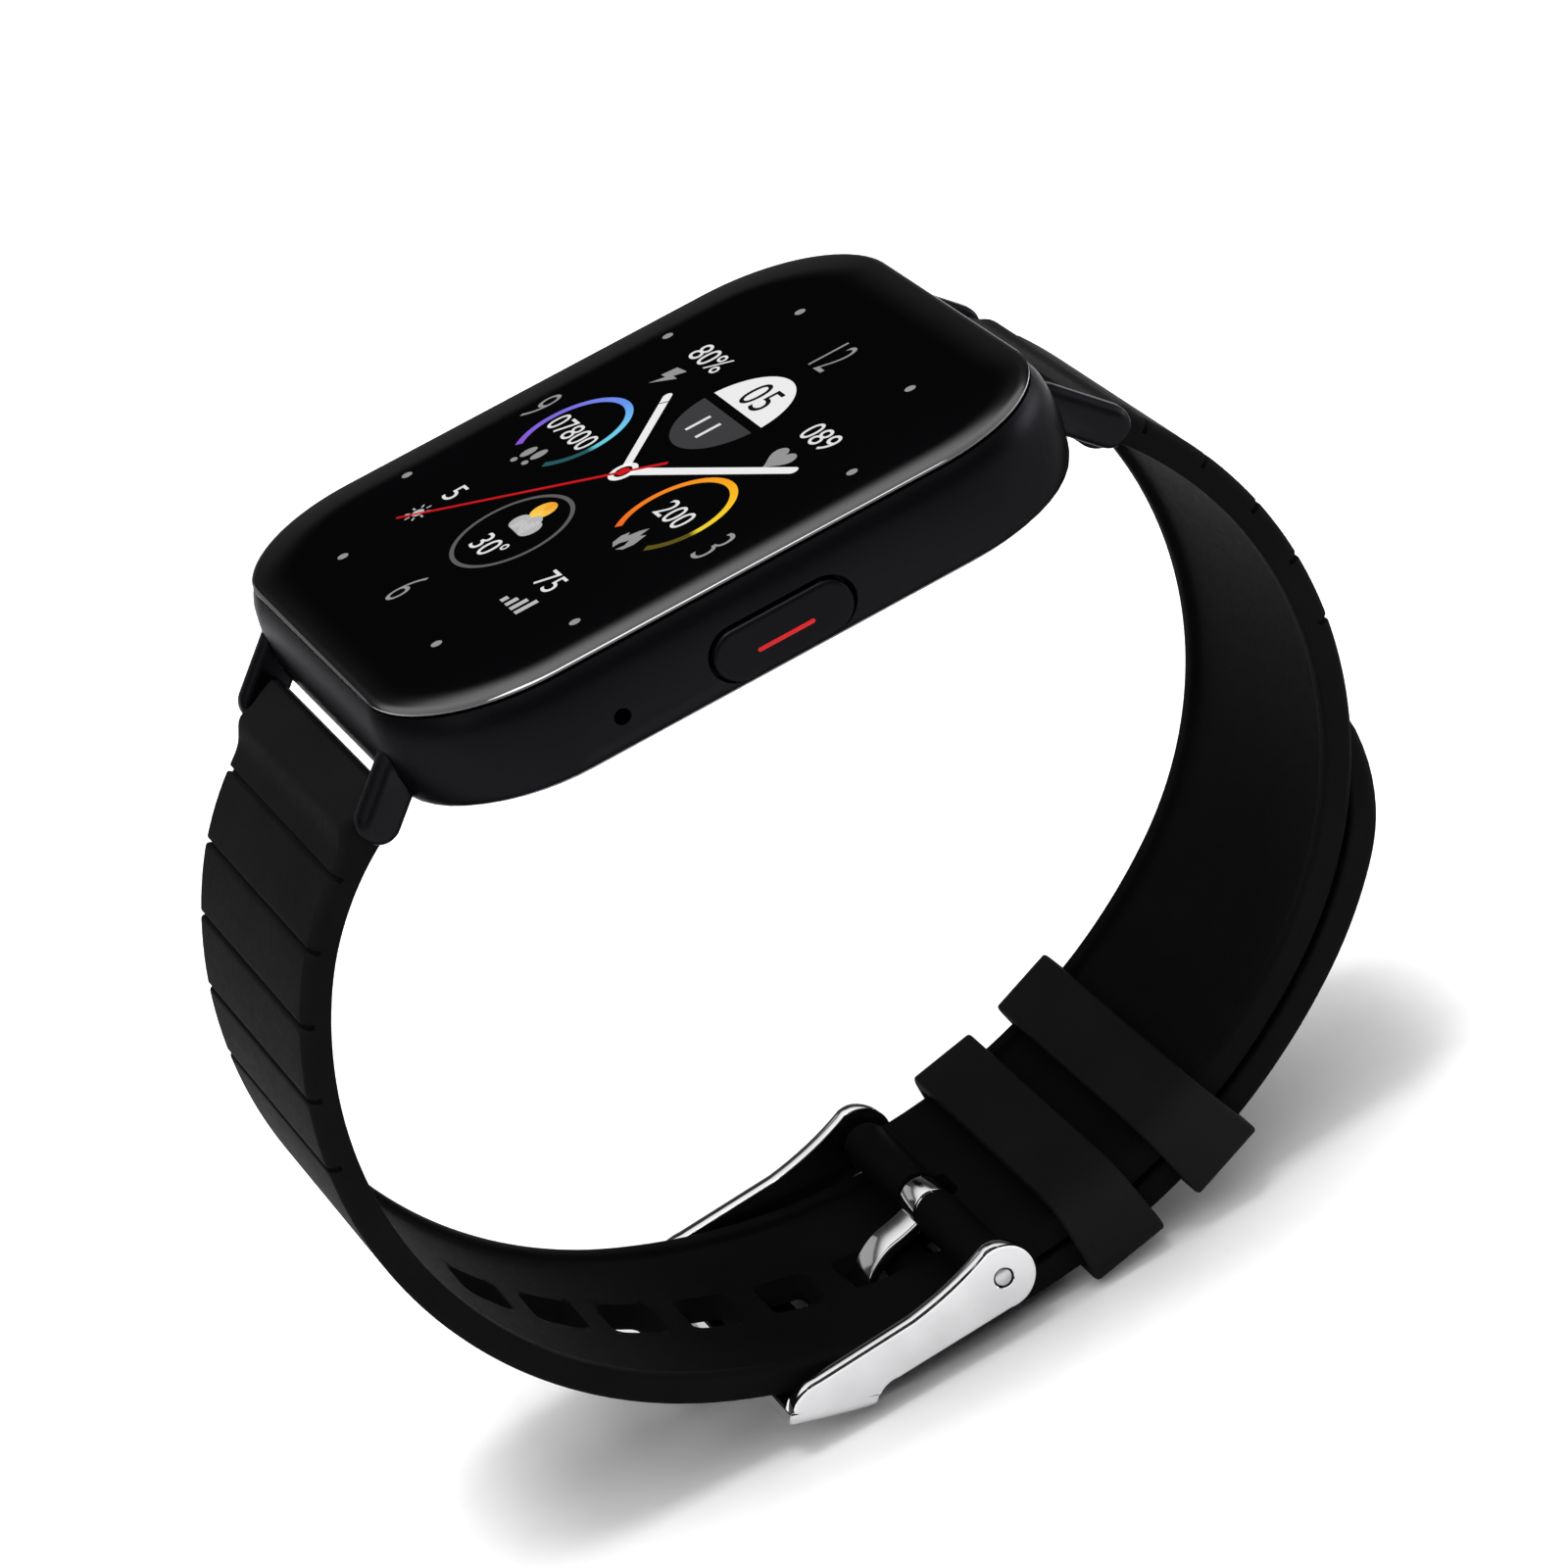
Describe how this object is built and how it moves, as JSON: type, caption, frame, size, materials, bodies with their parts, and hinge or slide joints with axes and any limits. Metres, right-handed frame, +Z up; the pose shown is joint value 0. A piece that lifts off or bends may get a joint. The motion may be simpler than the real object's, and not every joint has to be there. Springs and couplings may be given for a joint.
{
  "type": "smartwatch",
  "caption": "Rectangular smartwatch with a glass face, one side button and a two-part silicone band closed by a pin buckle and keepers.",
  "frame": {"origin": "on the surface the watch stands on, under the middle of its outline", "axes": "+Z up, out of the display; +Y towards 12 o'clock; +X towards the side button (3 o'clock)"},
  "size_m": [0.042, 0.0708, 0.0583],
  "materials": {
    "glass": "gloss black cover glass with soft rounded edges",
    "graphite": "satin graphite, fine bead-blasted grain",
    "lug_metal": "satin graphite, a little lighter than the case",
    "silicone": "matte black silicone",
    "seal": "dark elastomer",
    "chrome": "polished",
    "steel": "turned and ground",
    "plastic": "fine-textured black",
    "red": "smooth red inlay",
    "gold": "gold-plated",
    "board": "solder mask",
    "foil": "foil pouch"
  },
  "bodies": {
    "case": {"case_frame": "graphite", "cover_glass": "glass", "display_adhesive": "seal", "display_panel": "glass", "lug_6_button_side": "lug_metal", "lug_6_far_side": "lug_metal", "lug_12_button_side": "lug_metal", "lug_12_far_side": "lug_metal", "rear_cover": "plastic", "sensor_window": "glass", "charging_contact_1": "gold", "charging_contact_2": "gold", "sensor_board": "board", "sensor_led": "gold", "photodiode_1": "plastic", "photodiode_2": "plastic", "main_board": "board", "battery": "foil", "haptic_motor": "steel", "speaker": "plastic", "microphone": "steel", "button_switch": "plastic"},
    "button": {"side_button": "graphite", "button_inlay": "red", "button_seal": "seal", "button_clip": "steel"},
    "short_band": {"short_strap": "silicone", "bar_tube_12": "steel", "fixed_tip_12": "steel", "bar_spring_12": "steel", "buckle_pin": "steel"},
    "long_band": {"long_strap": "silicone", "bar_tube_6": "steel", "fixed_tip_6": "steel", "bar_spring_6": "steel"},
    "release_12": {"release_pin_12": "steel"},
    "release_6": {"release_pin_6": "steel"},
    "lower_keeper": {"keeper_lower": "silicone"},
    "upper_keeper": {"keeper_upper": "silicone"},
    "buckle": {"buckle_frame": "chrome"},
    "tongue": {"buckle_tongue": "chrome"}
  },
  "joints": [
    {"name": "button_press", "type": "slide", "parent": "case", "child": "button", "axis": [-1, 0, 0], "range_m": [0, 0.0004], "stiffness_N_per_m": 1500, "springref_m": -0.0005},
    {"name": "short_strap_swing", "type": "hinge", "parent": "case", "child": "short_band", "pos_m": [-0.0001, 0.02587, 0.05133], "axis": [1, 0, 0], "range_deg": [-0.12, 0.2]},
    {"name": "long_strap_swing", "type": "hinge", "parent": "case", "child": "long_band", "pos_m": [-0.0001, -0.02392, 0.05133], "axis": [1, 0, 0], "range_deg": [-0.2, 0.12]},
    {"name": "release_12_draw", "type": "slide", "parent": "short_band", "child": "release_12", "axis": [1, 0, 0], "range_m": [0, 0.001], "stiffness_N_per_m": 400, "springref_m": -0.001},
    {"name": "release_6_draw", "type": "slide", "parent": "long_band", "child": "release_6", "axis": [1, 0, 0], "range_m": [0, 0.001], "stiffness_N_per_m": 400, "springref_m": -0.001},
    {"name": "keeper_lower_slide", "type": "hinge", "parent": "short_band", "child": "lower_keeper", "pos_m": [-0.0001, -0.00097, 0.04354], "axis": [1, 0, 0], "range_deg": [-1.2, 1.2]},
    {"name": "keeper_upper_slide", "type": "hinge", "parent": "short_band", "child": "upper_keeper", "pos_m": [-0.0001, -0.00097, 0.04354], "axis": [1, 0, 0], "range_deg": [-1.2, 14]},
    {"name": "buckle_fold", "type": "hinge", "parent": "short_band", "child": "buckle", "pos_m": [-0.0001, -0.00097, 0.00439], "axis": [1, 0, 0], "range_deg": [0, 3.5]},
    {"name": "tongue_lift", "type": "hinge", "parent": "buckle", "child": "tongue", "pos_m": [-0.0001, -0.00097, 0.00439], "axis": [1, 0, 0], "range_deg": [0, 3]}
  ],
  "couplings": [
    {"joint": "long_strap_swing", "follows": "short_strap_swing", "ratio": -1}
  ]
}
